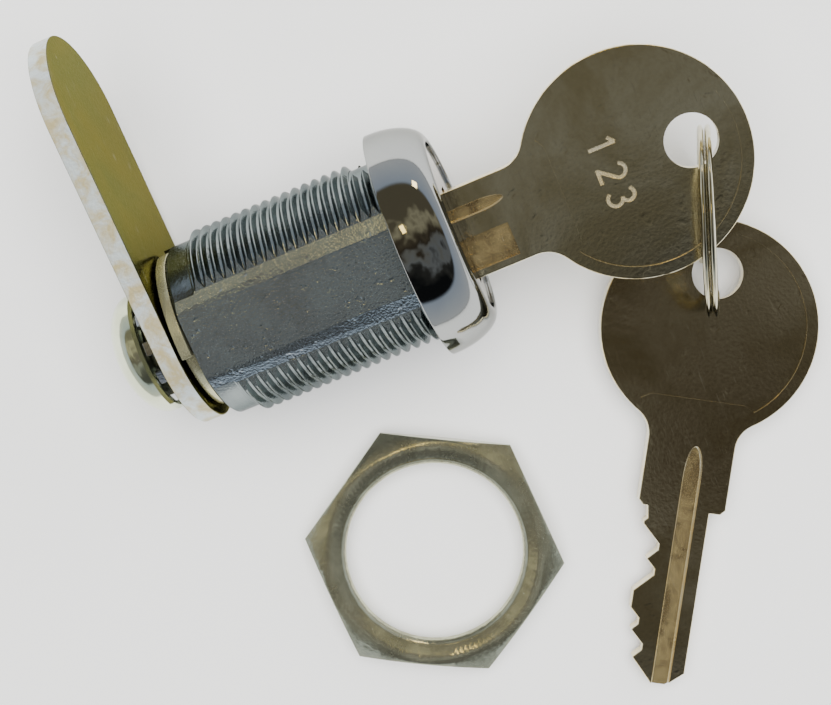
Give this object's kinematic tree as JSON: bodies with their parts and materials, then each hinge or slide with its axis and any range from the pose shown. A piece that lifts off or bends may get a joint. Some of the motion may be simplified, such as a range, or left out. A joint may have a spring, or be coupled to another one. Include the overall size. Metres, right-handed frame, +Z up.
{
  "type": "cam lock",
  "caption": "Keyed cam lock with a threaded, flattened barrel, a straight cam, a hexagon panel nut, and two flat keys on a split ring.",
  "frame": {"origin": "on the surface the lock lies on, under the middle of the whole arrangement", "axes": "+Z up from that surface; the lock's axis runs nearly along Y, its keyhole at the -Y end and tipped up a little; the cam points along +X"},
  "size_m": [0.0833, 0.067, 0.0227],
  "materials": {
    "housing": "polished chrome plate over a die casting",
    "plug": "polished, on a die casting",
    "disc_tumblers": "stamped brass",
    "springs": "drawn spring wire",
    "retaining_wafer": "stamped brass",
    "stop_washer": "yellow zinc plate",
    "cam": "yellow zinc plate on sheared steel",
    "lock_washer": "zinc plate",
    "cam_screw": "bright zinc plate",
    "keys": "nickel plate, tarnished warm",
    "key_ring": "polished spring steel",
    "panel_nut": "dull zinc plate"
  },
  "bodies": {
    "housing": {"housing": "housing"},
    "plug_and_cam": {"plug": "plug", "stop_washer": "stop_washer", "cam": "cam", "lock_washer": "lock_washer", "cam_screw": "cam_screw", "tumbler_spring_1": "springs", "tumbler_spring_2": "springs", "tumbler_spring_3": "springs", "tumbler_spring_4": "springs", "tumbler_spring_5": "springs", "retaining_spring": "springs"},
    "key_in_lock": {"key_in_lock": "keys"},
    "tumbler_1": {"disc_tumbler_1": "disc_tumblers"},
    "tumbler_2": {"disc_tumbler_2": "disc_tumblers"},
    "tumbler_3": {"disc_tumbler_3": "disc_tumblers"},
    "tumbler_4": {"disc_tumbler_4": "disc_tumblers"},
    "tumbler_5": {"disc_tumbler_5": "disc_tumblers"},
    "retaining_wafer": {"retaining_wafer": "retaining_wafer"},
    "key_ring": {"key_ring": "key_ring"},
    "loose_key": {"loose_key": "keys"},
    "panel_nut": {"panel_nut": "panel_nut"}
  },
  "joints": [
    {"name": "plug_turn", "type": "hinge", "parent": "housing", "child": "plug_and_cam", "pos_m": [0.01024, 0.00258, 0.01131], "axis": [0, -0.9932, 0.1165], "range_deg": [0, 90]},
    {"name": "key_draw", "type": "slide", "parent": "plug_and_cam", "child": "key_in_lock", "axis": [0, -0.9932, 0.1165], "range_m": [0, 0.024]},
    {"name": "tumbler_1_slide", "type": "slide", "parent": "plug_and_cam", "child": "tumbler_1", "axis": [0.9877, 0.0182, 0.1554], "range_m": [0, 0.0007], "deforming": ["tumbler_spring_1"]},
    {"name": "tumbler_2_slide", "type": "slide", "parent": "plug_and_cam", "child": "tumbler_2", "axis": [0.9877, 0.0182, 0.1554], "range_m": [0, 0.0007], "deforming": ["tumbler_spring_2"]},
    {"name": "tumbler_3_slide", "type": "slide", "parent": "plug_and_cam", "child": "tumbler_3", "axis": [0.9877, 0.0182, 0.1554], "range_m": [0, 0.0007], "deforming": ["tumbler_spring_3"]},
    {"name": "tumbler_4_slide", "type": "slide", "parent": "plug_and_cam", "child": "tumbler_4", "axis": [0.9877, 0.0182, 0.1554], "range_m": [0, 0.0007], "deforming": ["tumbler_spring_4"]},
    {"name": "tumbler_5_slide", "type": "slide", "parent": "plug_and_cam", "child": "tumbler_5", "axis": [0.9877, 0.0182, 0.1554], "range_m": [0, 0.0007], "deforming": ["tumbler_spring_5"]},
    {"name": "wafer_press", "type": "slide", "parent": "plug_and_cam", "child": "retaining_wafer", "axis": [-0.1564, 0.1151, 0.981], "range_m": [0, 0.0008], "stiffness_N_per_m": 200, "springref_m": -0.001, "deforming": ["retaining_spring"]},
    {"name": "ring_turn", "type": "hinge", "parent": "key_in_lock", "child": "key_ring", "pos_m": [0.00141, -0.02517, 0.0094], "axis": [0.3384, 0.9248, -0.1736], "range_deg": [0, 25]},
    {"name": "loose_key_swing", "type": "hinge", "parent": "key_ring", "child": "loose_key", "pos_m": [-0.00395, -0.02454, 0.00232], "axis": [-0.7234, 0.3737, 0.5806], "range_deg": [0, 30]},
    {"name": "nut_lift", "type": "slide", "parent": "housing", "child": "panel_nut", "axis": [0, 0, 1], "range_m": [0, 0.03]}
  ],
  "couplings": [
    {"joint": "tumbler_1_slide", "follows": "key_draw", "ratio": 0.029166},
    {"joint": "tumbler_2_slide", "follows": "key_draw", "ratio": 0.029166},
    {"joint": "tumbler_3_slide", "follows": "key_draw", "ratio": 0.029166},
    {"joint": "tumbler_4_slide", "follows": "key_draw", "ratio": 0.029166},
    {"joint": "tumbler_5_slide", "follows": "key_draw", "ratio": 0.029166}
  ]
}
